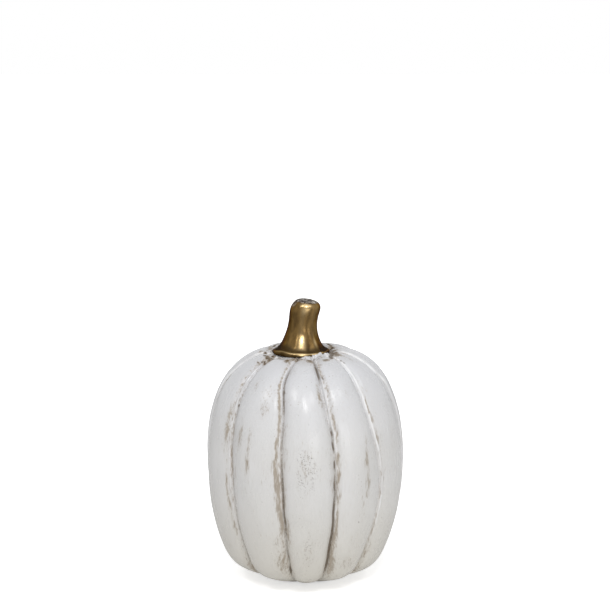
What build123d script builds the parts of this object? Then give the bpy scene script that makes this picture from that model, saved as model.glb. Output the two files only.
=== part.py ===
"""Ribbed ceramic pumpkin with a gilt stem: a hollow ornament that stands on felt dots.

Millimetres, +Z up.  The origin is on the pumpkin's axis, in the plane it stands on, and
-Y is the front.  Directions around an axis are degrees from the front, growing towards +X.
"""
from build123d import *
from math import cos, radians, sin
import os

os.makedirs("parts", exist_ok=True)

# ---- driving sizes -----------------------------------------------------------
body_radius = 50.8        # over the ribs, at the widest height
body_height = 116.5       # from the foot to the seat under the stem
rib_depth = 3.0           # how far the grooves lie below the rib crests
wall = 4.5                # slip-cast side wall
floor_wall = 5.0          # ceramic at the foot
crown_wall = 7.0          # ceramic under the stem
vent_radius = 6.0         # firing vent through the foot

pad_thickness = 1.0       # felt dots stuck under the foot
pad_radius = 3.5
pad_count = 4

socket_radius = 6.2       # hole through the crown for the stem's spigot
glue_gap = 0.5            # cured adhesive all round the spigot
spigot_length = 6.0

stem_height = 24.5        # from the seat to the middle of the cut top
stem_radius = 7.6         # at mid height
top_tilt = 6.0            # degrees by which the cut top falls towards +X
skirt_radius = 14.4       # flared foot of the stem
skirt_lip = 1.6           # its upright edge
flute_count = 5
flute_depth = 0.045       # share of the stem's local radius

# Directions of the grooves.  The front ribs are a little narrower than the rear ones.
groove_angles = [-126, -88, -49, -13.5, 17, 48.5, 83, 120, 158, 196]

# The grooves aren't straight: how far each turns from its direction at these shares of the
# height, in degrees.
wander_shares = [0.00, 0.10, 0.30, 0.50, 0.70, 0.85, 0.95, 1.00]
groove_wander_angles = [
    [2.0, 0.5, -1.0, 0.5, 1.5, 1.0, -2.0, -2.0],
    [0.0, 0.0, 0.0, 0.0, 0.0, 0.0, -1.0, -1.5],
    [5.0, 4.0, 2.0, 0.5, -1.5, -3.0, -4.0, -3.5],
    [3.0, 2.5, 1.5, 0.5, -0.5, -2.0, -5.0, -5.5],
    [-2.5, -2.0, 0.0, 0.5, 0.0, -3.5, -4.5, -2.5],
    [-5.0, -4.0, 0.0, 2.0, -2.5, -5.0, -6.0, -6.0],
    [0.0, 1.0, 3.0, 3.5, 0.0, -4.5, -7.5, -9.0],
    [-2.0, -1.0, 1.0, 0.5, 0.0, -2.0, -1.0, 0.0],
    [1.5, 1.0, 0.0, -1.0, -0.5, 1.0, 1.5, 1.0],
    [-1.0, 0.5, 1.5, 0.5, -1.0, -1.5, 0.5, 1.0],
]

# Side view of a rib, foot to seat: share of the height, share of the widest radius.
rib_profile_shares = [
    (0.000, 0.375),
    (0.030, 0.550),
    (0.077, 0.745),
    (0.154, 0.850),
    (0.266, 0.932),
    (0.386, 0.983),
    (0.506, 1.000),
    (0.635, 0.983),
    (0.764, 0.921),
    (0.867, 0.813),
    (0.940, 0.670),
    (0.983, 0.500),
    (1.000, 0.300),
]
full_groove_share = 0.60  # radius share beyond which the grooves have their full depth

# Side view of the stem above its skirt: share of its height, then in shares of its
# mid-height radius how far its middle leans towards +X, and its girth.
stem_profile_shares = [
    (0.16, -0.24, 1.42),
    (0.30, -0.25, 1.14),
    (0.50, -0.21, 1.00),
    (0.75, -0.08, 0.98),
    (0.94, 0.01, 0.97),
    (1.00, 0.04, 0.80),
]
skirt_lean_share = -0.24

# ---- places worked out from the sizes ----------------------------------------
foot_height = pad_thickness
seat_height = foot_height + body_height
spigot_radius = socket_radius - glue_gap
foot_radius = body_radius * rib_profile_shares[0][1] - rib_depth
pad_pitch = (vent_radius + foot_radius) / 2


def around(radius, angle):
    """Point in a given direction, measured from the front towards +X."""
    return (radius * sin(radians(angle)), -radius * cos(radians(angle)))


def grooves_at(height_share):
    """Directions of the grooves at one height, read between the listed shares."""
    above = next(place for place in range(1, len(wander_shares)) if wander_shares[place] >= height_share)
    low, high = wander_shares[above - 1], wander_shares[above]
    part = (height_share - low) / (high - low)
    return [
        angle + (1 - part) * wander[above - 1] + part * wander[above]
        for angle, wander in zip(groove_angles, groove_wander_angles)
    ]


def ribbed_section(height, radius, depth, grooves):
    """Outline of the pumpkin at one height: an arc per rib, the arcs meeting in grooves."""
    ends = grooves[1:] + [grooves[0] + 360]
    with BuildSketch(Plane.XY.offset(height)) as section:
        with BuildLine():
            for start, end in zip(grooves, ends):
                ThreePointArc(
                    around(radius - depth, start),
                    around(radius, (start + end) / 2),
                    around(radius - depth, end),
                )
        make_face()
    return section.sketch


def ribbed_sections(bottom, top, widest):
    """Outlines from bottom to top that follow the side view of the ribs."""
    return [
        ribbed_section(
            bottom + height_share * (top - bottom),
            widest * radius_share,
            rib_depth * min(1, radius_share / full_groove_share),
            grooves_at(height_share),
        )
        for height_share, radius_share in rib_profile_shares
    ]


def fluted_section(height, lean_share, radius, tilt=0):
    """Outline of the stem at one height, a circle with soft shallow flutes."""
    slope = radians(tilt)
    plane = Plane(
        (stem_radius * lean_share, 0, height),
        x_dir=(cos(slope), 0, -sin(slope)),
        z_dir=(sin(slope), 0, cos(slope)),
    )
    turns = [90 * quarter / flute_count for quarter in range(4 * flute_count)]
    with BuildSketch(plane) as section:
        with BuildLine():
            Spline(
                [
                    around(radius * (1 + flute_depth * cos(radians(flute_count * turn))), turn)
                    for turn in turns
                ],
                periodic=True,
            )
        make_face()
    return section.sketch


# ---- pumpkin body: hollow ribbed shell, vent in the foot, socket in the crown --
with BuildPart() as pumpkin_body:
    loft(ribbed_sections(foot_height, seat_height, body_radius))
    loft(
        ribbed_sections(foot_height + floor_wall, seat_height - crown_wall, body_radius - wall),
        mode=Mode.SUBTRACT,
    )
    with BuildSketch(Plane.XY.offset(foot_height)):
        Circle(vent_radius)
    extrude(amount=floor_wall, mode=Mode.SUBTRACT)
    with BuildSketch(Plane.XY.offset(seat_height)):
        Circle(socket_radius)
    extrude(amount=-crown_wall, mode=Mode.SUBTRACT)
pumpkin_body.part.label = "pumpkin_body"
export_step(pumpkin_body.part, "parts/pumpkin_body.step")

# ---- stem: flared, fluted and leaning, on a spigot that drops into the socket --
with BuildPart() as stem:
    loft(
        [
            fluted_section(seat_height, skirt_lean_share, skirt_radius),
            fluted_section(seat_height + skirt_lip, skirt_lean_share, skirt_radius),
        ]
        + [
            fluted_section(
                seat_height + height_share * stem_height,
                lean_share,
                stem_radius * girth_share,
                top_tilt * height_share,
            )
            for height_share, lean_share, girth_share in stem_profile_shares
        ]
    )
    with BuildSketch(Plane.XY.offset(seat_height)):
        Circle(spigot_radius)
    extrude(amount=-spigot_length)
stem.part.label = "stem"
export_step(stem.part, "parts/stem.step")

# ---- stem adhesive: cured sleeve between the spigot and its socket -------------
with BuildPart() as stem_adhesive:
    with BuildSketch(Plane.XY.offset(seat_height)):
        Circle(socket_radius)
        Circle(spigot_radius, mode=Mode.SUBTRACT)
    extrude(amount=-spigot_length)
stem_adhesive.part.label = "stem_adhesive"
export_step(stem_adhesive.part, "parts/stem_adhesive.step")

# ---- felt pads: dots between the vent and the edge of the foot -----------------
for number in range(1, pad_count + 1):
    with BuildPart() as felt_pad:
        with BuildSketch(Plane((*around(pad_pitch, (number - 1) * 360 / pad_count), 0))):
            Circle(pad_radius)
        extrude(amount=pad_thickness)
    felt_pad.part.label = f"felt_pad_{number}"
    export_step(felt_pad.part, f"parts/felt_pad_{number}.step")
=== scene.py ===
import itertools
import math

import bpy
import numpy as np
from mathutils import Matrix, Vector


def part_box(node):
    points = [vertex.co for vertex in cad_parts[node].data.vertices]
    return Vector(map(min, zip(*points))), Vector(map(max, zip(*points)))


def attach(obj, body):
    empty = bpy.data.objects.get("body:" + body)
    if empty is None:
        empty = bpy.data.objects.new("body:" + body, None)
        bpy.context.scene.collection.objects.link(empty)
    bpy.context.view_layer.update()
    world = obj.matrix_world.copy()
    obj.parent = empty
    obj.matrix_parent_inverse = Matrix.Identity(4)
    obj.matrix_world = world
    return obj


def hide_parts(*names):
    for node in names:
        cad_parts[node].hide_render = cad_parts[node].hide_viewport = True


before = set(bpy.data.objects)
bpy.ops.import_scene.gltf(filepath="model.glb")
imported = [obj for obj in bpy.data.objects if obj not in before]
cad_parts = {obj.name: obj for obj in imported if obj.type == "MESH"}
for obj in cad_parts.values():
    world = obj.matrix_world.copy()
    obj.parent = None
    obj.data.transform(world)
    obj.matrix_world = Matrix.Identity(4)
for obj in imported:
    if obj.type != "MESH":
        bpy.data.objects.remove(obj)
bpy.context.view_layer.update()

# The ceramic pumpkin figure in metres: +Z up, -Y the front.  Directions around the axis
# are degrees from the front, growing towards +X.

MM = 0.001

# ---- sizes read from the frame ----
body_low, body_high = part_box("pumpkin_body")
stem_low, stem_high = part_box("stem")
foot_height = body_low.z
seat_height = body_high.z
body_height = seat_height - foot_height
body_radius = (body_high.y - body_low.y) / 2
stem_height = stem_high.z - seat_height
socket_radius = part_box("stem_adhesive")[1].x
spigot_end = stem_low.z

# ---- sizes of the construction that the frame doesn't give ----
rib_depth = 3.0 * MM
wall = 4.5 * MM
floor_wall = 5.0 * MM
crown_wall = 7.0 * MM
vent_radius = 6.0 * MM
spigot_radius = 5.7 * MM
full_groove_share = 0.60    # radius share beyond which the grooves have their full depth
stem_off_axis = -2.0 * MM   # where the middle of the stem's skirt stands along X
crown_lean = 0.8 * MM       # the crown's rings stand a little off the axis

# Directions of the grooves.  The front ribs are a little narrower than the rear ones.
groove_angles = [-126, -88, -49, -13.5, 17, 48.5, 83, 120, 158, 196]

# Side view of a rib, foot to seat: share of the height, share of the widest radius.
rib_profile_shares = [
    (0.000, 0.375),
    (0.030, 0.550),
    (0.077, 0.745),
    (0.154, 0.850),
    (0.266, 0.932),
    (0.386, 0.983),
    (0.506, 1.000),
    (0.635, 0.983),
    (0.764, 0.921),
    (0.867, 0.813),
    (0.940, 0.670),
    (0.983, 0.500),
    (1.000, 0.300),
]

# How far each groove turns from its direction, in degrees, at these shares of the height.
wander_shares = [0.00, 0.10, 0.30, 0.50, 0.70, 0.85, 0.95, 1.00]
groove_wander_angles = [
    [2.0, 0.5, -1.0, 0.5, 1.5, 1.0, -2.0, -2.0],
    [0.0, 0.0, 1.0, 2.8, 2.8, 0.6, 0.6, 1.0],
    [5.0, 4.0, 2.0, 0.5, -1.5, -3.0, -4.0, -3.5],
    [3.0, 2.5, 1.5, 0.5, -0.5, -2.0, -4.5, -2.0],
    [-2.5, -2.0, 0.0, 0.5, 0.0, -3.5, -6.0, -7.5],
    [-5.0, -4.0, 0.0, 2.0, -2.5, -5.0, -6.0, -6.0],
    [0.0, 1.0, 1.5, 1.0, 1.5, -0.5, -6.0, -9.0],
    [-2.0, -1.0, 1.0, 0.5, 0.0, -2.0, -1.0, 0.0],
    [1.5, 1.0, 0.0, -1.0, -0.5, 1.0, 1.5, 1.0],
    [-1.0, 0.5, 1.5, 0.5, -1.0, -1.5, 0.5, 1.0],
]

# Each groove has a crisp side, where the rib in front of it turns under, and a soft side
# with a raised welt and a shallow channel: 1 to the groove's right, -1 to its left.
soft_sides = np.sign(np.sin(np.radians(groove_angles)))
# How far the welt stands from each groove, in mm: further out where the rib in front hides it.
welt_places = [1.1, 1.7, 1.1, 1.1, 1.1, 1.1, 1.7, 1.1, 1.1, 1.1]

# Relief across a groove, in mm: heights or depths, where it isn't at the groove its place on
# the soft side, and half its width.
valley_depth, valley_width = 0.55, 2.0
crease_depth, dark_crease_depth, crease_width = 0.16, 0.2, 0.25
low_welt_height, welt_rise, welt_width = 0.12, 0.42, 0.42
channel_depth, channel_place, channel_width = 0.2, 2.5, 0.7


# ---- small numeric helpers ----
def spline(knots, values, places):
    """Natural cubic spline through values at the knots, read at the places."""
    knots, values = np.array(knots, float), np.array(values, float)
    gaps = np.diff(knots)
    slopes = np.diff(values, axis=0) / gaps[:, None]
    system = np.eye(len(knots))
    target = np.zeros_like(values)
    for row in range(1, len(knots) - 1):
        system[row, row - 1:row + 2] = gaps[row - 1], 2 * (gaps[row - 1] + gaps[row]), gaps[row]
        target[row] = 6 * (slopes[row] - slopes[row - 1])
    bends = np.linalg.solve(system, target)
    span = np.clip(np.searchsorted(knots, places, side="right") - 1, 0, len(gaps) - 1)
    length = gaps[span][:, None]
    before = (knots[span + 1] - places)[:, None] / length
    after = 1 - before
    line = before * values[span] + after * values[span + 1]
    curve = (before**3 - before) * bends[span] + (after**3 - after) * bends[span + 1]
    return line + curve * length**2 / 6


def smooth_curve(points, places):
    """The spline through points, read at places from 0 to 1 along its chords."""
    points = np.array(points, float)
    knots = np.concatenate([[0], np.cumsum(np.linalg.norm(np.diff(points, axis=0), axis=1))])
    return spline(knots, points, knots[-1] * places)


def noise(points, lump, seed):
    """Smooth random field from -1 to 1 with lumps of the given size, or sizes along X, Y, Z.

    Large odd factors scramble the place of each cell's corner into that corner's value.
    """
    cells = points / np.array(lump)
    base = np.floor(cells).astype(np.int64)
    part = cells - base
    part = part * part * (3 - 2 * part)
    total = np.zeros(points.shape[:-1])
    for corner in itertools.product((0, 1), repeat=3):
        spot = base + corner
        scaled = spot * (73856093, 19349663, 83492791)
        key = scaled[..., 0] ^ scaled[..., 1] ^ scaled[..., 2] ^ seed * 2654435761
        key = (key ^ (key >> 13)) * 1274126177 & 0x7FFFFFFF
        key = (key ^ (key >> 15)) * 668265263 & 0x7FFFFFFF
        weight = np.prod(np.where(corner, part, 1 - part), axis=-1)
        total += weight * (key / 0x7FFFFFFF * 2 - 1)
    return total


def step(low, high, values):
    """Smooth rise from 0 at low to 1 at high; low may be the larger."""
    part = np.clip((values - low) / (high - low), 0, 1)
    return part * part * (3 - 2 * part)


def bell(values, width):
    """Soft bump: 1 at 0, falling to a third at the width."""
    return np.exp(-((values / width) ** 2))


# ---- meshes ----
def grid_mesh(name, rings, attributes, closed):
    """Closed rings of points, joined into a skin of quads; closed joins the last to the first."""
    count, around = rings.shape[:2]
    rows = np.arange(count if closed else count - 1)
    here = np.arange(around)
    row, column = np.meshgrid(rows, here, indexing="ij")
    beyond = (row + 1) % count
    beside = (column + 1) % around
    lower, upper = row * around, beyond * around
    quads = np.stack([lower + column, lower + beside, upper + beside, upper + column], axis=-1)
    faces = quads.reshape(-1, 4).tolist()
    if not closed:
        faces.append(list(range(around))[::-1])
        faces.append(list(range((count - 1) * around, count * around)))
    mesh = bpy.data.meshes.new(name)
    mesh.from_pydata(rings.reshape(-1, 3).tolist(), [], faces)
    for key, values in attributes.items():
        layer = mesh.attributes.new(key, "FLOAT", "POINT")
        layer.data.foreach_set("value", values.astype(np.float32).ravel())
    mesh.polygons.foreach_set("use_smooth", [True] * len(mesh.polygons))
    mesh.set_sharp_from_angle(angle=math.radians(60))
    mesh.update()
    piece = bpy.data.objects.new(name, mesh)
    bpy.context.scene.collection.objects.link(piece)
    return piece


def normals_of(surface):
    """Outward unit normals of a grid of rings whose rows run upwards."""
    along = np.gradient(surface, axis=0)
    around = np.roll(surface, -1, axis=1) - np.roll(surface, 1, axis=1)
    normal = np.cross(around, along)
    return normal / np.linalg.norm(normal, axis=-1, keepdims=True)


# ---- pumpkin body ----
columns_per_rib = 46
inner_rows = 14
side_rows = 112
crown_rows = 66             # closer together, for the lumps of glaze round the stem
crown_start = 0.87          # where those rows start, as a share of the profile's length
collar_rows = 12            # from the ribbed outline at the seat in to below the skirt
collar_end = 12.6           # where the last of them stands, in mm from the stem's axis
collar_travel = 0.4         # but at least this far in from the outline, in mm
foot_edge_share = 0.985     # the foot's flat face, as a share of its outline
socket_mouth_drop = 2.4 * MM    # the socket's wall is drawn up to this far below the seat
under_skirt_radius = 9.5 * MM   # where the collar turns down into the socket
under_skirt_gap = 0.1 * MM


def groove_lines(shares):
    """Direction in radians of every groove at every height share: rows by grooves."""
    wander = spline(wander_shares, np.transpose(groove_wander_angles), shares)
    rows, grooves = np.meshgrid(shares * body_height, np.arange(len(groove_angles)), indexing="ij")
    quiver = noise(np.stack([rows, grooves, 0 * rows], axis=-1), (5 * MM, 1, 1), 11)
    return np.radians(groove_angles + wander + 0.3 * quiver)


def ribbed_rings(heights, radii, shares):
    """Ribbed outlines: an arc per rib, narrow quads at the grooves.

    Returns the points, and for each the nearest groove's number and the signed distance
    to it along the surface, positive on the groove's right.
    """
    lines = groove_lines(shares)
    lines = np.concatenate([lines, lines[:, :1] + 2 * math.pi], axis=1)
    depth = rib_depth * np.minimum(1, radii / body_radius / full_groove_share)
    part = 0.5 - 0.5 * np.cos(math.pi * np.arange(columns_per_rib) / columns_per_rib)
    rings, grooves, distances = [], [], []
    for rib in range(len(groove_angles)):
        start, end = lines[:, rib], lines[:, rib + 1]
        half = (end - start) / 2
        middle = (end + start) / 2
        chord = (radii - depth) * np.sin(half)
        rise = radii - (radii - depth) * np.cos(half)
        bend = (chord**2 + rise**2) / (2 * rise)
        swing = 2 * np.arctan(rise / chord)
        turn = swing[:, None] * (2 * part - 1)
        outward = (radii - bend)[:, None] + bend[:, None] * np.cos(turn)
        sideways = bend[:, None] * np.sin(turn)
        sine, cosine = np.sin(middle)[:, None], np.cos(middle)[:, None]
        rings.append(np.stack([
            outward * sine + sideways * cosine,
            -outward * cosine + sideways * sine,
            np.broadcast_to(heights[:, None], turn.shape),
        ], axis=-1))
        from_start = (turn + swing[:, None]) * bend[:, None]
        from_end = (swing[:, None] - turn) * bend[:, None]
        nearer = from_start <= from_end
        grooves.append(np.where(nearer, rib, (rib + 1) % len(groove_angles)))
        distances.append(np.where(nearer, from_start, -from_end))
    return (np.concatenate(rings, 1), np.concatenate(grooves, 1), np.concatenate(distances, 1))


def circle_ring(like, radius, height):
    """A plain round ring whose points stand at the same directions as those of another."""
    flat = like[:, :2] / np.linalg.norm(like[:, :2], axis=1, keepdims=True) * radius
    return np.concatenate([flat, np.broadcast_to(height, len(like))[:, None]], axis=1)


def profile_rows(bottom, top, widest, places):
    """Heights, radii and height shares of the rib's side view, at places from 0 to 1 along it."""
    curve = smooth_curve(
        [(bottom + up * (top - bottom), widest * out) for up, out in rib_profile_shares], places
    )
    shares = np.clip((curve[:, 0] - bottom) / (top - bottom), 0, 1)
    return curve[:, 0], curve[:, 1], shares


def about_stem(surface):
    """Direction in degrees and distance in mm of every point from the stem's axis."""
    across, ahead = surface[..., 0] - stem_off_axis, -surface[..., 1]
    return np.degrees(np.arctan2(across, ahead)), np.hypot(across, ahead) / MM


def polar_noise(surface, across, outward, seed):
    """Noise stretched away from the stem, for marks that radiate from it."""
    turn, away = about_stem(surface)
    spread = np.stack([np.radians(turn) * 20, away, turn * 0], axis=-1)
    return noise(spread, (across, outward, 1), seed)


def crown_patches(entries, turn, off_stem):
    """Adds up soft-edged patches round the stem, whose entries are listed as crown_lumps is."""
    total = np.zeros_like(turn)
    for direction, distance, around, outward, strength in entries:
        aside = np.radians((turn - direction + 180) % 360 - 180) * distance
        total += strength * bell(aside, around) * bell(off_stem - distance, outward)
    return total


# How far the skirt and the glaze round it hang below the seat: direction, drop in mm.
skirt_drops = [
    (-140, 0.9), (-115, 2.6), (-90, 2.0), (-66, 1.6), (-42, 1.3), (-19, 1.2), (0, 0.95), (24, 1.4),
    (45, 1.2), (66, 1.7), (90, 2.0), (115, 2.0), (140, 1.0), (180, 0.8),
]


def crown_drop(turn):
    """How far the crown hangs below the seat at the skirt, for directions in degrees."""
    listed = np.array(skirt_drops)
    whole = np.concatenate([listed - (360, 0), listed, listed + (360, 0)])
    return spline(whole[:, 0], whole[:, 1:], np.ravel(turn))[:, 0].reshape(np.shape(turn)) * MM


def in_dip(off_stem):
    """How much of the drop is left at a distance from the stem's axis."""
    return step(21, 15, off_stem)


def with_collar(rings, shares, groove, distance):
    """Adds flat rings from the ribbed outline at the seat in to below the stem's skirt."""
    turn, off_stem = about_stem(rings[-1])
    inward = np.linspace(0, 1, collar_rows + 1)[1:, None]
    travel = (off_stem - np.minimum(collar_end, off_stem - collar_travel)) * inward
    off_axis, direction = (off_stem - travel) * MM, np.radians(turn)
    collar = np.stack([
        stem_off_axis + off_axis * np.sin(direction),
        -off_axis * np.cos(direction),
        np.full(off_axis.shape, seat_height),
    ], axis=-1)
    sides = np.where(distance[-1] < 0, -1, 1)
    return (
        np.concatenate([rings, collar]),
        np.concatenate([shares, np.ones(collar_rows)]),
        np.concatenate([groove, np.broadcast_to(groove[-1], off_axis.shape)]),
        np.concatenate([distance, distance[-1] + sides * travel * MM]),
    )


def sculpt_outside(surface, shares, groove, distance):
    """Valleys, creases, welts, hand-worked unevenness and the lumpy glaze round the stem."""
    up = np.broadcast_to(shares[:, None], distance.shape)
    away = np.abs(distance)
    soft = distance * soft_sides[groove]
    live = np.clip(0.75 + 0.9 * noise(surface, (5 * MM, 5 * MM, 8 * MM), 21), 0, 1.5)
    valley = -valley_depth * bell(away, valley_width * MM) * step(0.0, 0.1, up)
    deep = crease_depth + dark_crease_depth * crease_mask(up, groove)
    crease = -deep * bell(away, crease_width * MM)
    high = (low_welt_height + welt_rise * step(0.12, 0.5, up)) * live
    welt = high * bell(soft - np.take(welt_places, groove) * MM, welt_width * MM)
    channel = -channel_depth * live * bell(soft - channel_place * MM, channel_width * MM)
    uneven = (
        0.26 * noise(surface, 19 * MM, 31)
        + 0.09 * noise(surface, (6 * MM, 6 * MM, 12 * MM), 32)
        + 0.025 * noise(surface, (1.6 * MM, 1.6 * MM, 7 * MM), 33)
    )
    turn, off_stem = about_stem(surface)
    lumps = 0.55 + 0.9 * noise(surface, 2.6 * MM, 34) + 0.6 * noise(surface, 1.3 * MM, 35)
    collar = 0.4 * bell(off_stem - 15.4, 1.1) * np.clip(lumps, 0.5, 2)
    collar += crown_patches(crown_lumps, turn, off_stem) * np.clip(0.7 + lumps, 0.4, 1.6)
    rough = bell(np.maximum(off_stem - 17, 0), 4.5) * (
        0.2 * noise(surface, 2.8 * MM, 36) + 0.2 * polar_noise(surface, 0.9, 7, 37)
    )
    top = step(0.93, 0.975, up)
    relief = valley + crease + welt + channel + uneven + (collar + rough) * top
    still = step(0.0, 0.03, up)
    surface = surface + normals_of(surface) * (relief * still * MM)[..., None]
    surface[..., 2] -= crown_drop(turn) * in_dip(off_stem) * top
    return surface


def build_body():
    """The glazed outside, the bare foot, the vent, the hollow and the socket, in one closed skin."""
    places = np.concatenate([
        np.linspace(0, crown_start, side_rows, endpoint=False),
        np.linspace(crown_start, 1, crown_rows),
    ])
    heights, radii, shares = profile_rows(foot_height, seat_height, body_radius, places)
    outside, groove, distance = ribbed_rings(heights, radii, shares)
    outside[..., 0] += crown_lean * step(0.8, 1.0, shares)[:, None]
    outside, shares, groove, distance = with_collar(outside, shares, groove, distance)
    outside = sculpt_outside(outside, shares, groove, distance)

    low, high = foot_height + floor_wall, seat_height - crown_wall
    inner_profile = profile_rows(low, high, body_radius - wall, np.linspace(0, 1, inner_rows))
    inside = ribbed_rings(*inner_profile)[0]

    first, last = outside[0], outside[-1]
    foot_edge = first * (foot_edge_share, foot_edge_share, 1)
    foot_edge[:, 2] = foot_height
    vent = [circle_ring(first, vent_radius, height) for height in (foot_height, low)]
    mouth = seat_height - socket_mouth_drop
    socket = [circle_ring(last, socket_radius, height) for height in (high, mouth)]
    seat = seat_height - crown_drop(about_stem(last)[0]) - under_skirt_gap
    under_skirt = [circle_ring(last, under_skirt_radius, seat)]
    rings = np.concatenate([outside[::-1], [foot_edge], vent, inside, socket, under_skirt])
    hidden = np.zeros((len(rings) - len(outside), outside.shape[1]))
    masks = finish_masks(outside, shares, groove, distance)
    masks["height_share"] = np.broadcast_to(shares[:, None], distance.shape)
    masks["glazed"] = np.ones_like(distance)
    attributes = {key: np.concatenate([mask[::-1], hidden]) for key, mask in masks.items()}
    piece = grid_mesh("body", rings, attributes, closed=True)
    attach(piece, "root")
    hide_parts("pumpkin_body")
    return piece


# ---- where the brown wash stays on the body, with painted shade and highlights by the grooves ----
# How much of it stays along each groove, and how strong the painted shade close beside it is.
groove_stain_and_shade = [1.0, 0.8, 0.9, 1.1, 1.1, 0.3, 0.3, 1.0, 1.0, 1.0]
# How clean the welt beside each groove is wiped, and how strong its painted highlight is.
welt_wipes_and_highlights = [0.8, 1.6, 0.5, 0.4, 0.5, 1.0, 1.6, 0.8, 0.8, 0.8]
wipe_and_highlight_widths = [0.5, 1.1, 0.5, 0.5, 0.5, 0.5, 0.9, 0.5, 0.5, 0.5]   # half widths in mm
# How much further out the line stands below the shoulder, in mm, onto the front rib's turning edge: a
# painted edge highlight.
edge_highlight_shifts = [0.0, 2.9, 0.0, 0.0, 0.0, 0.0, 2.6, 0.0, 0.0, 0.0]
# Bands beside a groove: height share, half length as a share, distance from the crease in
# mm (positive to its right), half width in mm, strength.
groove_bands = {
    1: [(0.85, 0.08, -2.0, 1.0, 0.35), (0.45, 0.2, -2.2, 1.2, 0.3)],
    2: [
        (0.55, 0.3, -0.6, 1.2, 0.35), (0.9, 0.05, -3.0, 1.2, 0.5), (0.77, 0.06, -3.7, 1.2, 0.78),
        (0.68, 0.06, -4.0, 1.3, 0.76), (0.47, 0.06, -3.5, 0.7, 1.0), (0.38, 0.05, -3.2, 0.9, 0.7),
        (0.28, 0.03, -2.1, 1.0, 0.8), (0.5, 0.1, 4.2, 1.2, 0.35), (0.07, 0.05, -1.5, 2.0, 0.9),
    ],
    3: [
        (0.92, 0.05, -2.1, 0.8, 0.85), (0.85, 0.04, -2.0, 0.7, 1.0), (0.76, 0.05, -1.9, 0.7, 1.0),
        (0.67, 0.04, -2.7, 0.6, 0.7), (0.6, 0.04, -3.4, 0.6, 0.75), (0.53, 0.04, -3.1, 0.7, 0.95),
        (0.46, 0.04, -2.3, 0.9, 1.1), (0.39, 0.04, -1.8, 0.9, 1.1), (0.34, 0.03, -1.1, 0.7, 1.0),
        (0.48, 0.12, -2.2, 2.4, 0.5), (0.24, 0.06, -1.4, 1.2, 0.4), (0.15, 0.05, -3.8, 2.8, 0.9),
        (0.3, 0.05, 1.6, 0.9, 0.55),
    ],
    4: [
        (0.96, 0.03, 1.4, 1.0, 0.8), (0.88, 0.04, -2.2, 1.2, 0.85), (0.9, 0.04, 3.4, 0.9, 0.75),
        (0.8, 0.05, 2.6, 1.2, 0.8), (0.72, 0.05, 2.3, 0.9, 0.6), (0.63, 0.03, 1.4, 0.8, 0.6),
        (0.54, 0.04, 1.6, 1.3, 0.95), (0.46, 0.05, 1.5, 1.2, 0.75), (0.38, 0.05, 1.7, 1.1, 0.65),
        (0.3, 0.07, 1.2, 1.0, 0.9), (0.2, 0.06, 1.1, 1.1, 1.0), (0.13, 0.05, 2.7, 2.4, 0.8),
    ],
    5: [
        (0.82, 0.05, 1.7, 0.7, 0.9), (0.76, 0.03, 2.0, 0.7, 0.9), (0.68, 0.04, 1.8, 0.6, 0.75),
        (0.6, 0.04, 1.4, 0.5, 0.75), (0.52, 0.04, 1.0, 0.5, 0.95), (0.42, 0.04, 0.7, 0.6, 1.0),
        (0.33, 0.04, 0.6, 0.5, 0.75), (0.25, 0.05, 0.6, 0.8, 0.7), (0.15, 0.05, 1.1, 1.5, 0.95),
        (0.07, 0.03, 0.8, 3.0, 0.8),
    ],
    6: [(0.9, 0.06, 2.0, 1.0, 0.3), (0.4, 0.2, 2.0, 1.2, 0.3)],
}
# Dark fillings of the crease itself: height share, half length as a share, strength.
crease_lines = {
    1: [(0.3, 0.2, 0.2)],
    2: [(0.78, 0.02, 0.3), (0.3, 0.14, 0.15), (0.12, 0.08, 0.4)],
    3: [
        (0.93, 0.05, 0.45), (0.85, 0.04, 0.55), (0.72, 0.06, 0.35), (0.55, 0.08, 0.42),
        (0.45, 0.06, 0.52), (0.36, 0.05, 0.5), (0.2, 0.09, 0.35), (0.11, 0.02, 0.8),
    ],
    4: [
        (0.96, 0.03, 0.75), (0.73, 0.02, 0.6), (0.68, 0.02, 0.75), (0.6, 0.015, 0.9),
        (0.5, 0.06, 0.45), (0.4, 0.04, 0.85), (0.3, 0.06, 1.1), (0.18, 0.07, 1.2),
    ],
    5: [(0.3, 0.1, 0.2), (0.12, 0.08, 0.4)],
    6: [(0.3, 0.2, 0.15)],
}
# How much the crease is filled in between them.
crease_base = [0.25, 0.05, 0.22, 0.28, 0.3, 0.12, 0.05, 0.25, 0.25, 0.25]
# The grooves round the back are all finished alike.
rear_bands = [
    (0.88, 0.05, -2.0, 1.2, 0.7), (0.66, 0.08, 2.4, 1.2, 0.6), (0.45, 0.08, -2.2, 1.4, 0.7),
    (0.28, 0.06, 2.0, 1.6, 0.5), (0.12, 0.06, -2.6, 2.6, 0.8),
]
rear_lines = [(0.92, 0.04, 0.8), (0.55, 0.1, 0.6), (0.22, 0.14, 0.9)]
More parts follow.
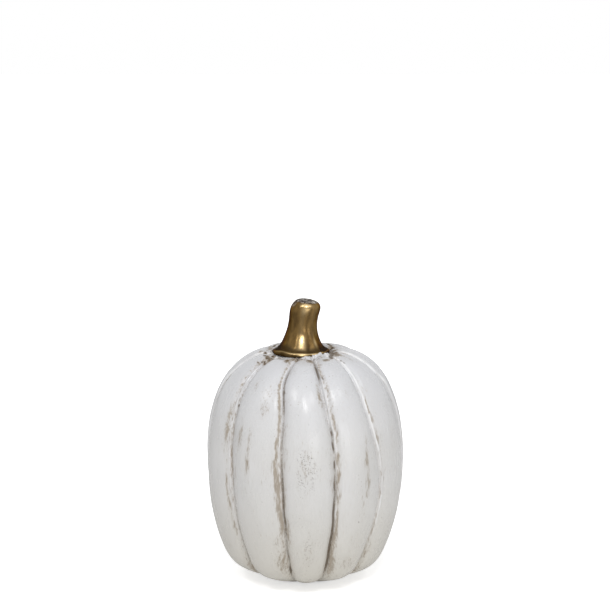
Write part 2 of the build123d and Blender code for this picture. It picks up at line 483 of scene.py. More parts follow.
# Smears on the ribs: direction, height share, half width in mm, half height in mm, strength.
smears = [
    (-40.8, 0.697, 1.8, 6.0, 0.8), (-33.4, 0.697, 1.1, 7.0, 0.55), (-34.0, 0.595, 1.2, 6.5, 0.9),
    (-26.6, 0.825, 2.6, 4.5, 0.55), (-27.5, 0.89, 2.6, 3.5, 0.3), (-38.8, 0.905, 1.2, 2.5, 0.5),
    (-22.0, 0.56, 4.0, 9.0, 0.15), (-28.0, 0.3, 5.0, 12.0, 0.12), (0.7, 0.6, 4.8, 10.0, 0.3),
    (2.1, 0.226, 3.0, 8.0, 0.3), (-18.1, 0.257, 1.6, 4.5, 0.3), (37.6, 0.69, 0.8, 3.0, 0.75),
    (36.7, 0.612, 1.3, 5.0, 0.9), (37.4, 0.522, 1.0, 4.5, 0.95), (36.9, 0.462, 0.8, 2.2, 0.6),
    (33.6, 0.442, 3.2, 12.0, 0.28), (32.0, 0.25, 4.0, 9.0, 0.2), (30.6, 0.882, 1.4, 2.2, 0.3),
    (29.4, 0.15, 4.5, 4.0, 0.4), (61.9, 0.65, 2.6, 10.0, 0.2), (61.0, 0.28, 2.0, 5.0, 0.25),
    (-66.0, 0.48, 3.0, 16.0, 0.18), (-60.0, 0.2, 3.0, 8.0, 0.25), (102.0, 0.45, 3.0, 10.0, 0.7),
    (96.0, 0.72, 2.0, 8.0, 0.6), (140.0, 0.68, 2.6, 9.0, 0.6), (133.0, 0.3, 3.5, 9.0, 0.4),
    (178.0, 0.42, 2.5, 14.0, 0.6), (171.0, 0.75, 2.0, 6.0, 0.7), (-150.0, 0.58, 2.5, 10.0, 0.6),
    (-141.0, 0.3, 3.0, 8.0, 0.4), (-108.0, 0.36, 3.0, 9.0, 0.6), (-104.0, 0.76, 2.0, 6.0, 0.5),
]
# Clusters of small pits, listed as the smears are.
pit_clusters = [
    (0.7, 0.59, 5.2, 12.0, 1.3), (2.1, 0.226, 3.0, 9.0, 1.2), (-18.1, 0.257, 1.6, 5.0, 0.9),
    (29.4, 0.15, 4.0, 4.0, 0.8), (-40.0, 0.69, 2.0, 6.0, 0.7), (-26.6, 0.825, 2.4, 5.0, 0.6),
    (-9.0, 0.3, 1.6, 7.0, 0.6), (70.0, 0.3, 3.0, 6.0, 0.6), (110.0, 0.56, 4.0, 9.0, 0.9),
    (150.0, 0.3, 3.0, 8.0, 0.9), (-170.0, 0.62, 3.0, 9.0, 0.9), (-120.0, 0.24, 3.0, 7.0, 0.9),
    (-70.0, 0.64, 3.0, 8.0, 0.6),
]
# Deep pin holes, left dark, also listed as the smears are.
pin_holes = [
    (-51.6, 0.81, 0.4, 0.75, 1.0), (-52.9, 0.795, 0.35, 0.4, 0.8), (-15.8, 0.888, 0.55, 0.9, 1.0),
    (-24.4, 0.439, 0.35, 0.4, 0.8), (-39.2, 0.297, 0.35, 0.4, 0.8), (-37.8, 0.272, 0.5, 0.4, 0.6),
    (-12.2, 0.35, 0.5, 0.6, 1.0), (-11.6, 0.297, 0.4, 0.6, 0.9), (-10.2, 0.118, 0.8, 0.8, 1.0),
    (59.0, 0.26, 0.6, 0.6, 0.6), (15.3, 0.94, 0.6, 0.8, 1.0), (32.0, 0.345, 0.35, 0.6, 0.8),
]


# On the crown, round the stem: direction, distance from the stem's axis, half width round it,
# half width away from it, in degrees and mm, and strength.  Lumps of glaze have their height in mm.
crown_lumps = [
    (38, 15.2, 5.5, 0.9, 1.4), (18, 15.2, 3.5, 0.8, 1.0), (42, 24.2, 0.9, 0.9, 0.5),
    (120, 16.4, 5.0, 0.9, 0.9), (150, 17.5, 5.0, 1.2, 0.8), (180, 17.0, 6.0, 1.5, 0.7),
    (-140, 17.0, 5.0, 1.0, 0.8), (-112, 16.4, 5.0, 0.9, 0.8), (-92, 19.0, 2.0, 1.2, 0.5),
    (-60, 18.2, 1.8, 1.2, 0.6), (-56, 21.6, 1.8, 1.1, 0.5), (-50, 15.6, 2.6, 0.8, 0.7),
    (-17, 19.5, 1.6, 1.4, 0.4), (0, 15.8, 3.0, 0.7, 0.3), (16, 18.6, 1.8, 1.2, 0.4),
]
crown_wash = [
    (131, 18.5, 3.2, 1.2, 1.0), (116, 17.6, 2.2, 1.3, 1.1), (97, 17.0, 2.0, 1.2, 1.0),
    (78, 17.4, 2.0, 1.4, 1.1), (66, 18.6, 2.0, 1.6, 1.1), (58, 21.0, 2.6, 2.0, 0.8),
    (44, 22.4, 2.0, 1.8, 1.0), (32, 23.0, 2.0, 1.6, 1.0), (94, 20.0, 1.0, 3.0, 0.5),
    (76, 21.5, 1.0, 3.0, 0.6), (60, 28.0, 1.0, 2.5, 0.5), (146, 21.5, 4.5, 1.8, 0.6),
    (178, 17.5, 7.0, 1.4, 0.8), (-135, 19.3, 3.2, 1.2, 1.0), (-115, 17.0, 3.0, 1.2, 0.7),
    (-92, 17.8, 2.4, 1.2, 0.9), (-94, 20.5, 2.0, 0.9, 0.7), (-60, 19.5, 2.6, 1.2, 0.9),
    (-52, 20.5, 2.4, 1.3, 1.1), (-51, 23.3, 2.2, 1.1, 0.6), (-60, 16.2, 2.2, 1.2, 1.0),
    (-57, 25.3, 1.4, 0.8, 0.7), (-35, 16.6, 3.5, 0.9, 0.6), (-19, 20.8, 1.6, 2.0, 1.1),
    (-15, 17.6, 1.6, 1.2, 0.9), (-7, 15.9, 3.0, 0.8, 0.6), (0, 17.2, 2.6, 0.7, 0.6),
    (12, 20.5, 1.8, 2.2, 1.1), (24, 17.8, 2.4, 1.0, 0.7), (22, 25.5, 0.8, 1.0, 0.6),
]
crown_dark = [
    (131, 18.5, 2.2, 0.7, 1.0), (118, 17.8, 1.2, 0.8, 0.9), (108, 15.6, 1.6, 1.0, 1.3),
    (97, 15.4, 1.6, 1.0, 1.4), (88, 15.3, 1.5, 1.1, 1.4), (80, 15.5, 1.5, 1.1, 1.4),
    (72, 15.9, 1.4, 1.2, 1.5), (65, 16.6, 1.3, 1.2, 1.5), (58, 17.7, 1.2, 1.2, 1.6),
    (52, 19.0, 1.1, 1.2, 1.6), (47, 20.4, 1.0, 1.2, 1.6), (43, 21.9, 1.0, 1.2, 1.5),
    (62, 19.4, 1.0, 0.9, 1.0), (84, 17.4, 1.2, 0.7, 0.9), (60, 21.4, 0.6, 1.2, 0.8),
    (76, 19.0, 0.6, 1.2, 0.8), (50, 25.6, 0.6, 0.9, 0.7), (50, 27.6, 0.5, 0.9, 0.6),
    (30, 16.4, 2.6, 0.35, 0.7), (22, 25.5, 0.5, 0.7, 0.7), (11, 24.7, 0.6, 0.7, 0.7),
    (5, 19.4, 1.2, 0.5, 0.5), (0, 17.2, 2.0, 0.4, 0.8), (-7, 15.8, 2.6, 0.35, 0.8),
    (-15, 18.0, 0.9, 0.9, 0.9), (-19, 20.8, 0.9, 0.9, 0.7), (-51, 23.2, 1.6, 0.6, 0.6),
    (-52, 18.8, 1.4, 0.6, 1.0), (-54, 20.6, 1.7, 0.7, 1.3), (-54, 23.9, 1.0, 0.5, 0.6),
    (-57, 25.3, 0.8, 0.5, 0.7), (-67, 19.6, 1.6, 0.8, 1.2), (-60, 16.2, 1.4, 0.7, 0.9),
    (-92, 17.8, 1.8, 0.7, 1.2), (-94, 19.6, 1.2, 0.5, 0.7), (-135, 19.3, 2.2, 0.7, 1.0),
]


def crease_mask(up, groove):
    """How dark the filling of each point's groove is at its height."""
    mask = np.zeros_like(up)
    for number in range(len(groove_angles)):
        for middle, half, strength in crease_lines.get(number, rear_lines):
            mask += (groove == number) * strength * bell(up - middle, half)
    return np.clip(mask, 0, 1)


def patches(entries, surface, up):
    """Adds up soft-edged patches given by direction, height share, half sizes and strength."""
    direction = np.degrees(np.arctan2(surface[..., 0], -surface[..., 1]))
    reach = np.hypot(surface[..., 0], surface[..., 1])
    total = np.zeros_like(up)
    for angle, middle, half_width, half_height, strength in entries:
        across = np.radians((direction - angle + 180) % 360 - 180) * reach
        along = (up - middle) * body_height
        total += strength * bell(across, half_width * MM) * bell(along, half_height * MM)
    return total


def wiped_and_highlight_lines(surface, up, groove, soft):
    """White lines on the welts: the wash wiped off, and a painted highlight whiter than the bare glaze.
    """
    places = np.take(welt_places, groove) + np.take(edge_highlight_shifts, groove) * step(0.93, 0.84, up)
    wiped_and_highlight = bell(soft - places * MM, np.take(wipe_and_highlight_widths, groove) * MM)
    wiped_and_highlight *= np.clip(0.8 + 0.6 * noise(surface, (3 * MM, 3 * MM, 7 * MM), 46), 0.1, 1)
    return wiped_and_highlight * step(0.15, 0.45, up) * np.take(welt_wipes_and_highlights, groove)


def rib_wash_and_shade(surface, up, groove, distance, soft):
    """Brown wash in the valleys, in patches beside the grooves and in smears on the ribs, and painted
    shade close beside the grooves.
    """
    away = np.abs(distance)
    patchy = np.clip(0.5 + noise(surface, (4 * MM, 4 * MM, 9 * MM), 41), 0, 1)
    drifts = np.clip(0.3 + noise(surface, (5 * MM, 5 * MM, 16 * MM), 45), 0, 1)
    stain_and_shade_level = np.take(groove_stain_and_shade, groove)
    wash_and_shade = 0.22 * stain_and_shade_level * bell(soft - 2.2 * MM, 1.0 * MM) * patchy
    # Painted shade: a greyish-brown tint close beside every groove, partly wash kept there.
    wash_and_shade += 0.2 * stain_and_shade_level * bell(away, 2.6 * MM)
    wash_and_shade += 0.24 * bell(away, 5.5 * MM) * drifts
    for number in range(len(groove_angles)):
        here = 0.8 * (groove == number)
        for middle, half, offset, width, strength in groove_bands.get(number, rear_bands):
            beside = bell(distance - offset * MM, width * MM)
            wash_and_shade += here * strength * bell(up - middle, half) * beside
    return wash_and_shade + patches(smears, surface, up)


def finish_masks(surface, shares, groove, distance):
    """How much brown wash, dark filling, grime, wiping and pitting each point has, with painted shade
    beside the grooves, a painted shadow under the skirt and painted highlights on the welts.
    """
    up = np.broadcast_to(shares[:, None], distance.shape)
    away = np.abs(distance)
    soft = distance * soft_sides[groove]
    wiped_and_highlight = wiped_and_highlight_lines(surface, up, groove, soft)
    wash_and_shade = rib_wash_and_shade(surface, up, groove, distance, soft) * (1 - 0.8 * np.clip(wiped_and_highlight, 0, 1))
    line = (crease_mask(up, groove) * 0.8 + np.take(crease_base, groove)) * bell(away, 0.27 * MM)
    line += patches(pin_holes, surface, up)

    turn, off_stem = about_stem(surface)
    top = step(0.92, 0.95, up)
    gaps = step(0.05, 0.75, noise(surface, 2.6 * MM, 42) + 0.5 * noise(surface, 1.2 * MM, 43) + 0.15)
    bead = bell(off_stem - 15.2, 1.2) * bell(turn - 32, 26)
    wash_and_shade += top * 0.6 * gaps * bell(np.maximum(off_stem - 17, 0), 2.6) * (1 - 0.8 * bead)
    grime = top * crown_patches(crown_wash, turn, off_stem)
    wash_and_shade += grime
    marks = step(0.25, 0.65, polar_noise(surface, 0.9, 8, 44))
    fanned = 0.9 * bell(turn - 60, 22) + 0.7 * bell(turn + 62, 24) + 0.5 * step(110, 140, np.abs(turn))
    wash_and_shade += 0.8 * top * marks * fanned * bell(np.maximum(off_stem - 18, 0), 7)
    line += top * crown_patches(crown_dark, turn, off_stem) * (0.7 + 0.5 * gaps)
    # Painted shadow: a dark line on the crown just outside the skirt's edge.
    line += 0.35 * bell(off_stem - 14.4, 0.5) * top
    pitted = patches(pit_clusters, surface, up)
    masks = {"wash_and_shade": wash_and_shade, "dark_fill_and_shadow": line, "grime": grime, "wiped_and_highlight": wiped_and_highlight, "pitted": pitted}
    return {key: np.clip(mask, 0, 1) for key, mask in masks.items()}


# ---- stem ----
stem_columns = 200
stem_rows = 150
top_tilt = 6.0              # degrees by which the cut top falls towards +X
spigot_shoulder = 1.2 * MM  # how far below the seat the spigot starts to widen into the skirt

# Side view: height above the seat, radius, lean towards +X, all in mm.
stem_outline = [
    (0.0, 13.7, -2.0), (0.6, 14.25, -2.0), (1.2, 14.15, -2.0), (1.8, 13.55, -2.0),
    (2.2, 12.75, -2.0), (2.8, 11.5, -2.0), (3.8, 10.4, -1.9), (5.5, 9.15, -1.8),
    (8.0, 8.0, -1.6), (11.0, 7.3, -1.35), (15.0, 7.1, -0.95), (19.0, 7.35, -0.3),
    (21.5, 7.4, 0.3), (22.8, 7.1, 0.5), (23.8, 6.5, 0.6), (24.6, 5.5, 0.6),
    (25.0, 4.3, 0.6), (25.0, 2.4, 0.6), (25.0, 0.4, 0.6),
]
# Ridges and hollows that run up the stem: direction, half width in degrees, share of the radius.
stem_ridges = [
    (1, 14, -0.018), (24, 8, -0.045), (46, 13, 0.025), (63, 13, -0.035),
    (98, 26, 0.035), (140, 16, -0.04), (178, 26, 0.045), (-142, 17, -0.04),
    (-104, 26, 0.03), (-58, 22, -0.015),
]
# Painted highlights, partly rubbed gilding on the crests: direction, half width in degrees, height,
# half height in mm, strength.
stem_rubs_and_highlights = [
    (2, 10, 5.8, 2.4, 0.56),
    (2, 22, 23.5, 0.8, 0.52),
    (-2, 14, 21.5, 2.2, 0.3),
    (5, 9, 1.0, 0.6, 0.85),
    (48, 6, 5.5, 1.8, 0.45),
]


def stem_relief(height, radius, side):
    """Ridges and hollows as shares of the radius.  They twist as they climb and fade upwards."""
    up = height / stem_height
    twist = -5 * step(0.2, 0.6, up) + 16 * step(0.7, 1.0, up)
    relief = 0 * (up + side)
    for direction, width, rise in stem_ridges:
        off = (side - direction - twist + 180) % 360 - 180
        relief = relief + rise * bell(off, width)
    return relief * (0.35 + 0.65 * step(0.75, 0.2, up)) * step(1.5, 6.0, radius / MM)


def shape_stem(height, radius, lean, turn, relief):
    """Points of the stem above its spigot: lobed and pressed skirt, front buttress, worn top."""
    side, up = np.degrees(turn), height / stem_height
    skirt = bell(height - 1.0 * MM, 1.8 * MM)
    lobes = skirt * (0.022 * np.cos(6 * turn + 0.9) + 0.014 * np.cos(11 * turn))
    buttress = 0.9 * MM * bell(height - 5.6 * MM, 3.0 * MM) * on_front(side)
    worn_edge = 0.9 * MM * bell(height - 24.0 * MM, 2.4 * MM) * bell(side + 75, 55)
    pressed = 0.5 * MM * skirt * bell(side - 95, 40)
    wide = radius * (1 + relief + lobes) + buttress - worn_edge - pressed
    tilt = math.radians(top_tilt) * up
    across = wide * np.sin(turn)
    taller_lip = 0.7 * MM * bell(side + 42, 26) * step(0.2 * MM, 1.2 * MM, height)
    sag = (crown_drop(side) - taller_lip) * step(9 * MM, 1.2 * MM, height)
    return np.stack([
        lean + across * np.cos(tilt),
        -wide * np.cos(turn),
        seat_height + height - across * np.sin(tilt) - sag,
    ], axis=-1)


def on_front(side):
    """1 on the front buttress, with a clear edge to either side."""
    return np.exp(-((side + 1) / 24) ** 4)


def stem_dents(points, height, side):
    """Bumps and, below 0, dents in mm: most on the front right, few at the top's rim."""
    worn = 0.12 + bell(side - 52, 24) + 0.5 * bell(side + 150, 60)
    dents = (
        0.16 * noise(points, (5.5 * MM, 5.5 * MM, 8 * MM), 51)
        + 0.1 * noise(points, (2.2 * MM, 2.2 * MM, 3.2 * MM), 52)
        + 0.035 * noise(points, 1.0 * MM, 53)
    ) * worn
    return dents * (1 - 0.9 * bell(height - 23.0 * MM, 3 * MM))


def stem_masks(height, radius, side, relief, dents):
    """Where the clay is bare, where the gilding is dark, with painted shade on the flare and under the
    lip, and where painted highlights brighten it, partly as rubbed gilding.
    """
    cut = step(23.6, 24.2, height / MM) * step(6.2, 5.4, radius / MM)
    chipped = bell(side + 82, 22) * step(21.0, 22.8, height / MM) * step(0.3, 0.7, 0.7 + dents)
    hollows_and_shade = np.clip(-dents / 0.22 - 7 * relief, 0, 1)
    # Painted shade on the lip's face below its edge, on the left front.
    under_lip = 0.8 * bell(side + 38, 30) * step(1.3 * MM, 0.9 * MM, height)
    # Painted shade: the flare's lower part darkened, as if it reflected dark surroundings.
    flare_shade = bell(height - 2.7 * MM, 1.5 * MM) * (1 - 0.2 * on_front(side))
    # Painted highlight: a bright line along the lip's edge, strongest at the front, partly rubbed
    # gilding.
    lip_rub_and_highlight = 0.2 + 0.5 * bell(side - 6, 26) + 0.35 * bell(side - 48, 18)
    rub_and_highlight = lip_rub_and_highlight * bell(height - 1.6 * MM, 0.18 * MM)
    for direction, width, middle, half_height, strength in stem_rubs_and_highlights:
        beside = bell(side - direction, width)
        rub_and_highlight = rub_and_highlight + strength * beside * bell(height - middle * MM, half_height * MM)
    # Painted highlights: a faint band up the front and a glow on the right side.
    rub_and_highlight += 0.08 * bell(side + 5, 11) * step(7 * MM, 10 * MM, height) * step(23 * MM, 20 * MM, height)
    rub_and_highlight += 0.12 * bell(side - 65, 30) * step(6 * MM, 10 * MM, height)
    masks = {
        "cut_face": cut + 0.8 * chipped,
        # Dent patina, darker towards the left front, and the painted shade under the lip.
        "hollows_and_shade": hollows_and_shade + 0.3 * bell(side + 52, 30) + under_lip,
        "flare_shade": flare_shade,
        "rub_and_highlight": rub_and_highlight,
    }
    return {key: np.clip(mask, 0, 1) for key, mask in masks.items()}


def build_stem():
    """The gilded stem on its bare spigot, in one closed skin."""
    curve = smooth_curve(np.array(stem_outline) * MM, np.linspace(0, 1, stem_rows))
    height, radius, lean = curve[:, 0, None], curve[:, 1, None], curve[:, 2, None]
    turn = np.linspace(-math.pi, math.pi, stem_columns, endpoint=False)[None]
    side = np.degrees(turn)
    relief = stem_relief(height, radius, side)
    points = shape_stem(height, radius, lean, turn, relief)
    dents = stem_dents(points, height, side)
    pushed = dents * step(0.0, 0.06, height / stem_height) * MM
    points = points + normals_of(points) * pushed[..., None]

    centred = points[0] - (lean[0, 0], 0, 0)
    spigot_top = seat_height - spigot_shoulder
    spigot = [circle_ring(centred, spigot_radius, level) for level in (spigot_end, spigot_top)]
    bare = np.zeros((len(spigot), stem_columns))
    masks = stem_masks(height, radius, side, relief, dents)
    attributes = {
        key: np.concatenate([bare, np.broadcast_to(mask, points.shape[:2])])
        for key, mask in masks.items()
    }
    piece = grid_mesh("gilt_stem", np.concatenate([spigot, points]), attributes, closed=False)
    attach(piece, "root")
    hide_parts("stem")
    return piece


# ---- felt pads ----
# Side view: share of the thickness, share of the radius.
felt_outline = [
    (0.0, 0.02), (0.0, 0.45), (0.0, 0.85), (0.08, 0.965), (0.3, 1.0),
    (0.7, 0.995), (0.94, 0.96), (1.0, 0.85), (1.0, 0.45), (1.0, 0.02),
]
fuzz_size = 0.35 * MM
fuzz_depth = 0.05 * MM
pad_distance = 11 * MM      # about how far the pads stand from the body's axis


def build_felt_pad(node, seed):
    """A die-cut felt dot: soft upright edge, slightly crowned and pressed face."""
    low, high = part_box(node)
    middle = (low + high) / 2
    radius = (high.x - low.x) / 2
    rows = np.array(felt_outline)
    turn = np.linspace(0, 2 * math.pi, 72, endpoint=False)[None]
    wide = radius * rows[:, 1, None]
    height = low.z + (high.z - low.z) * rows[:, 0, None] + 0 * turn
    points = np.stack([middle.x + wide * np.cos(turn), middle.y + wide * np.sin(turn), height], axis=-1)
    fuzz = noise(points, fuzz_size, seed) * fuzz_depth
    edge = (rows[:, 0, None] > 0.05) & (rows[:, 0, None] < 0.95)
    points[..., :2] *= 1 + (fuzz * edge / pad_distance)[..., None]
    piece = grid_mesh(node + "_felt", points, {}, closed=False)
    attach(piece, "root")
    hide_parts(node)
    return piece


# ---- materials ----
class Look:
    """A material, with short names for the handful of shader nodes that it uses."""

    def __init__(self, name):
        self.material = bpy.data.materials.new(name)
        self.material.use_nodes = True
        self.tree = self.material.node_tree
        self.shader = self.tree.nodes["Principled BSDF"]

    def put(self, value, socket):
        if isinstance(value, bpy.types.NodeSocket):
            self.tree.links.new(value, socket)
        else:
            socket.default_value = value

    def add(self, kind, inputs=None, **settings):
        """A new node with these settings, some of its inputs set or fed."""
        node = self.tree.nodes.new("ShaderNode" + kind)
        for key, value in settings.items():
            setattr(node, key, value)
        for key, value in (inputs or {}).items():
            self.put(value, node.inputs[key])
        return node

    def set(self, name, value):
        """Sets or feeds one of the shader's own sockets."""
        self.put(value, self.shader.inputs[name])

    def place(self):
        return self.add("TexCoord").outputs["Object"]

    def attribute(self, name):
        return self.add("Attribute", attribute_name=name).outputs["Fac"]

    def math(self, operation, first, second, clamp=False):
        node = self.add("Math", {0: first, 1: second}, operation=operation, use_clamp=clamp)
        return node.outputs[0]

    def times(self, first, second, clamp=False):
        return self.math("MULTIPLY", first, second, clamp)

    def plus(self, first, second, clamp=False):
        return self.math("ADD", first, second, clamp)

    def minus(self, first, second):
        return self.math("SUBTRACT", first, second)

    def stretched(self, scale):
        """Object coordinates counted in lumps, whose sizes along X, Y, Z are in mm."""
        per_lump = [1 / (size * MM) for size in scale]
        return self.add("Mapping", {"Vector": self.place(), "Scale": per_lump}).outputs[0]

    def noise(self, lump, detail=3.0, rough=0.55):
        inputs = {"Vector": self.stretched(lump), "Scale": 1.0, "Detail": detail, "Roughness": rough}
        return self.add("TexNoise", inputs).outputs["Fac"]

    def dots(self, spacing, low, high):
        """Small scattered dots: 1 at the centre of a cell, 0 beyond a short distance."""
        node = self.add("TexVoronoi", {"Vector": self.stretched((spacing,) * 3), "Scale": 1.0})
        return self.ramp(node.outputs["Distance"], high, low)

    def ramp(self, value, low, high):
        """0 at low and 1 at high, clamped; low may be the larger."""
        node = self.add("MapRange", {"Value": value, "From Min": low, "From Max": high})
        return node.outputs["Result"]

    def mix(self, factor, first, second):
        node = self.add("Mix", {"Factor": factor, "A": first, "B": second}, data_type="RGBA")
        return node.outputs["Result"]

    def bump(self, height, distance, below=None):
        node = self.add("Bump", {"Height": height, "Distance": distance})
        if below is not None:
            self.put(below, node.inputs["Normal"])
        return node.outputs["Normal"]


def colour(red, green, blue):
    """Linear colour from an sRGB one given as 0 to 255."""
    return [((part / 255 + 0.055) / 1.055) ** 2.4 for part in (red, green, blue)] + [1.0]


def clean_glaze(look, cloud):
    """Bare glaze: cooler towards the crown, warmer towards the foot, and a painted white highlight on
    the wiped welts.
    """
    height = look.attribute("height_share")
    cool, warm = look.ramp(height, 0.62, 0.95), look.ramp(height, 0.5, 0.0)
    glaze = look.mix(look.ramp(cloud, 0.35, 0.65), colour(219, 218, 217), colour(213, 212, 210))
    glaze = look.mix(look.times(cool, 0.8), glaze, colour(212, 213, 217))
    glaze = look.mix(look.times(warm, 0.8), glaze, colour(210, 205, 192))
    # Painted highlight: the wiped welts whiter than the bare glaze.
    return look.mix(look.times(look.attribute("wiped_and_highlight"), 0.9), glaze, colour(247, 247, 248))


def scrubbed_wash_and_shade(look, kept):
    """How brown the wash and the painted shade are: scrubbed into streaks, specks where it is thin, a
    faint film.
    """
    streaks = look.noise((1.0, 1.0, 5), 3, 0.5)
    fine = look.noise((0.4, 0.4, 3), 3, 0.55)
    broad, thin = look.ramp(streaks, 0.34, 0.66), look.ramp(fine, 0.34, 0.66)
    scrubbed = look.plus(look.times(broad, 0.7), look.times(thin, 0.55))
    streaked = look.ramp(look.plus(look.times(kept, 1.1), scrubbed), 1.06, 1.84)
    wash_and_shade = look.plus(streaked, look.times(kept, 0.26), clamp=True)
    specks = look.times(look.dots(1.1, 0.12, 0.26), look.ramp(kept, 0.05, 0.5), clamp=True)
    film = look.times(look.ramp(streaks, 0.5, 0.8), 0.1)
    return look.plus(wash_and_shade, look.plus(film, look.times(specks, 0.22)), clamp=True)


def glaze_material():
    """White glaze under a brown wash that was wiped off the ribs and left in the hollows, with painted
    shade by the grooves and under the skirt and painted highlights on the welts.
    """
    look = Look("antiqued_glaze")
    cloud = look.noise((14, 14, 26), 3)
    grain = look.noise((0.55, 0.55, 0.8), 3, 0.7)
    grained = look.times(look.minus(grain, 0.5), 0.9)
    wash_and_shade = scrubbed_wash_and_shade(look, look.attribute("wash_and_shade"))
    soaked = look.ramp(look.plus(look.attribute("grime"), grained), 0.45, 1.0)
    pitted = look.ramp(look.attribute("pitted"), 0.25, 0.8)
    pits = look.times(look.dots(0.95, 0.12, 0.3), pitted, clamp=True)
    crease = look.ramp(look.plus(look.attribute("dark_fill_and_shadow"), grained), 0.25, 0.75)
    sprinkled = look.times(look.dots(2.4, 0.07, 0.13), look.ramp(cloud, 0.48, 0.6))

    tinted = clean_glaze(look, cloud)
    for amount, cover, brown in (
        # Brown wash, and the painted shade beside the grooves in the same brown.
        (wash_and_shade, 0.86, colour(154, 141, 124)),
        (soaked, 0.7, colour(112, 96, 76)),
        (pits, 0.45, colour(140, 126, 108)),
        # Dark brown: crease fillings, pin holes, crown patches and the painted shadow line under the
        # skirt.
        (crease, 0.78, colour(92, 77, 58)),
        (sprinkled, 0.5, colour(138, 122, 102)),
    ):
        tinted = look.mix(look.times(amount, cover), tinted, brown)
    bisque = look.mix(look.ramp(grain, 0.3, 0.7), colour(214, 206, 194), colour(198, 189, 176))
    look.set("Base Color", look.mix(look.attribute("glazed"), bisque, tinted))

    matt = look.plus(soaked, look.plus(crease, look.times(wash_and_shade, 0.4)), clamp=True)
    look.set("Specular IOR Level", look.times(look.minus(1.0, look.times(matt, 0.85)), 0.5))
    gloss = look.plus(look.times(look.ramp(cloud, 0.3, 0.7), 0.05), 0.24)
    look.set("Roughness", look.plus(gloss, look.times(wash_and_shade, 0.25)))
    brush = look.bump(look.noise((0.7, 0.7, 9.0), 3), 0.08 * MM)
    holes = look.minus(1.0, look.plus(look.times(pits, 2.0), look.dots(3.1, 0.03, 0.09)))
    look.set("Normal", look.bump(holes, 0.12 * MM, brush))
    return look.material


def gilding_material():
    """Antique gold paint, dark in the hollows, with painted shade on the flare and under the lip,
    painted highlights partly as rubbed gilding, gone on the cut top.
    """
    look = Look("antique_gilding")
    cloud = look.noise((2.6, 2.6, 6.0), 4, 0.6)
    grain = look.noise((0.6, 0.6, 1.2), 4, 0.7)
    gold = look.mix(look.ramp(cloud, 0.35, 0.68), colour(92, 72, 43), colour(127, 101, 60))
    # Darkening: patina in the dents and the grain, darker on the left front, and painted shade on the
    # flare and under the lip.
    dent_patina_and_shade = look.plus(look.times(look.attribute("hollows_and_shade"), 0.5), look.attribute("flare_shade"))
    patina_and_shade = look.plus(dent_patina_and_shade, look.times(look.ramp(grain, 0.58, 0.74), 0.35), clamp=True)
    gold = look.mix(look.times(patina_and_shade, 0.85), gold, colour(64, 53, 36))
    # Painted highlights in a pale gold, partly rubbed gilding.
    gold = look.mix(look.attribute("rub_and_highlight"), gold, colour(236, 210, 160))
    flecks = look.noise((2.2, 2.2, 2.2), 4, 0.7)
    clay = look.mix(look.ramp(flecks, 0.5, 0.6), colour(48, 40, 34), colour(194, 186, 176))
    cut = look.attribute("cut_face")
    look.set("Base Color", look.mix(cut, gold, clay))
    look.set("Metallic", look.minus(0.92, look.times(cut, 0.92)))
    look.set("Specular Tint", colour(128, 110, 80))
    rough = look.plus(look.times(grain, 0.08), look.times(patina_and_shade, 0.1))
    rough = look.plus(rough, look.times(cut, 0.35))
    look.set("Roughness", look.plus(rough, 0.245))
    dimples = look.bump(grain, 0.008 * MM)
    look.set("Normal", look.bump(look.noise((1.0, 1.0, 3.0), 3), 0.017 * MM, dimples))
    return look.material


def felt_material():
    look = Look("felt")
    fibres = look.noise((0.12, 0.5, 0.3), 4, 0.7)
    crossing = look.noise((0.5, 0.12, 0.3), 4, 0.7)
    mesh = look.plus(look.times(fibres, 0.5), look.times(crossing, 0.5))
    grey = look.mix(look.ramp(mesh, 0.35, 0.65), colour(190, 186, 180), colour(212, 209, 204))
    look.set("Base Color", grey)
    look.set("Roughness", 0.95)
    look.set("Sheen Weight", 0.4)
    look.set("Normal", look.bump(mesh, 0.2 * MM))
    return look.material


def adhesive_material():
    look = Look("cured_adhesive")
    swirl = look.noise((2.0, 2.0, 2.0), 3)
    amber = look.mix(look.ramp(swirl, 0.3, 0.7), colour(214, 200, 160), colour(196, 178, 132))
    look.set("Base Color", amber)
    look.set("Roughness", look.plus(look.times(swirl, 0.2), 0.25))
    look.set("Normal", look.bump(swirl, 0.2 * MM))
    return look.material


def dress(piece, material):
    piece.data.materials.clear()
    piece.data.materials.append(material)


# ---- studio ----
camera_distance = 0.9       # from the middle of the body
camera_elevation = 17.1     # degrees
camera_lens = 104.4         # mm
body_middle = 0.062
aim_height = 0.14           # the camera looks at the top of the stem
lamp_aim_height = 0.08

# Lamps: direction and elevation in degrees, distance, width and height in metres, watts.
softboxes = {
    "key_softbox": (6, 45, 1.5, 0.19, 0.24, 4.6),
    "left_softbox": (-48, 50, 1.4, 0.3, 0.3, 3.4),
    "right_softbox": (46, 48, 1.4, 0.18, 0.18, 1.7),
    "front_softbox": (22, 6, 1.6, 0.9, 0.5, 4.1),
    "top_softbox": (0, 80, 1.2, 0.8, 0.8, 1.1),
}
world_level = 0.4           # soft light on the object from all round
floor_reach = 3.0
floor_glow = 0.57           # the floor's own light under the object, seen by the camera alone
glow_start, glow_end = 0.05, 0.22   # between these distances it grows to 1, plain white


def add_camera():
    raised = math.radians(camera_elevation)
    back = camera_distance * math.cos(raised)
    height = body_middle + camera_distance * math.sin(raised)
    data = bpy.data.cameras.new("camera")
    data.sensor_width = 36
    data.lens = camera_lens
    camera = bpy.data.objects.new("camera", data)
    camera.location = (0, -back, height)
    camera.rotation_euler = (math.pi / 2 - math.atan2(height - aim_height, back), 0, 0)
    bpy.context.scene.collection.objects.link(camera)
    bpy.context.scene.camera = camera


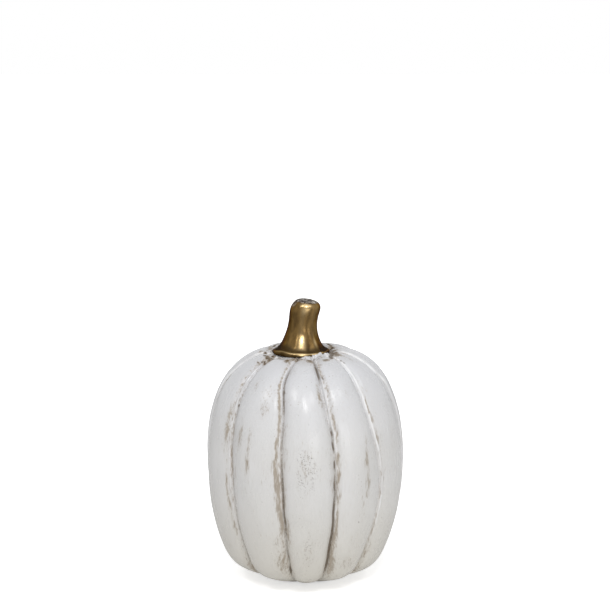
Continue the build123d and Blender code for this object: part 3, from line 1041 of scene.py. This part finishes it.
def add_softbox(name, direction, elevation, distance, width, height, power):
    """A rectangular lamp that faces the axis at lamp_aim_height."""
    data = bpy.data.lights.new(name, "AREA")
    data.shape = "RECTANGLE"
    data.size = width
    data.size_y = height
    data.energy = power
    lamp = bpy.data.objects.new(name, data)
    side, up = math.radians(direction), math.radians(elevation)
    reach = distance * math.cos(up)
    height_above = lamp_aim_height + distance * math.sin(up)
    lamp.location = (reach * math.sin(side), -reach * math.cos(side), height_above)
    lamp.rotation_euler = (math.pi / 2 - up, 0, side)
    bpy.context.scene.collection.objects.link(lamp)


def add_world(level):
    """White to the camera and in reflections, and a plain level of soft light on the object."""
    world = bpy.data.worlds.new("studio")
    bpy.context.scene.world = world
    world.use_nodes = True
    nodes, links = world.node_tree.nodes, world.node_tree.links
    path = nodes.new("ShaderNodeLightPath")
    seen = path.outputs["Is Camera Ray"]
    for kind in ("Is Glossy Ray", "Is Transmission Ray"):
        either = nodes.new("ShaderNodeMath")
        either.operation = "MAXIMUM"
        links.new(seen, either.inputs[0])
        links.new(path.outputs[kind], either.inputs[1])
        seen = either.outputs[0]
    strength = nodes.new("ShaderNodeMapRange")
    links.new(seen, strength.inputs["Value"])
    strength.inputs["To Min"].default_value = level
    background = nodes["Background"]
    background.inputs["Color"].default_value = (1, 1, 1, 1)
    links.new(strength.outputs["Result"], background.inputs["Strength"])


def add_floor(reach, glow):
    """Pale paper: white to the camera all over, and it keeps the object's shadow."""
    mesh = bpy.data.meshes.new("floor")
    corners = [(-reach, -reach, 0), (reach, -reach, 0), (reach, reach, 0), (-reach, reach, 0)]
    mesh.from_pydata(corners, [], [(0, 1, 2, 3)])
    floor = bpy.data.objects.new("floor", mesh)
    bpy.context.scene.collection.objects.link(floor)
    look = Look("studio_floor")
    paper = look.noise((4, 4, 4), 2)
    white = look.mix(look.ramp(paper, 0.3, 0.7), colour(244, 244, 244), colour(247, 247, 247))
    look.set("Base Color", white)
    look.set("Roughness", 0.9)
    look.set("Specular IOR Level", 0.1)
    far = look.add("VectorMath", {0: look.place()}, operation="LENGTH").outputs["Value"]
    spread = {"Value": far, "From Min": glow_start, "From Max": glow_end, "To Min": glow}
    lit = look.add("MapRange", spread)
    seen = look.add("LightPath").outputs["Is Camera Ray"]
    look.set("Emission Color", (1, 1, 1, 1))
    look.set("Emission Strength", look.times(lit.outputs["Result"], seen))
    dress(floor, look.material)


bpy.context.scene.view_settings.view_transform = "Standard"
add_camera()
add_world(world_level)
for lamp_name, placing in softboxes.items():
    add_softbox(lamp_name, *placing)
add_floor(floor_reach, floor_glow)

dress(build_body(), glaze_material())
dress(build_stem(), gilding_material())
felt = felt_material()
for number in range(1, 5):
    dress(build_felt_pad(f"felt_pad_{number}", 60 + number), felt)
dress(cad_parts["stem_adhesive"], adhesive_material())
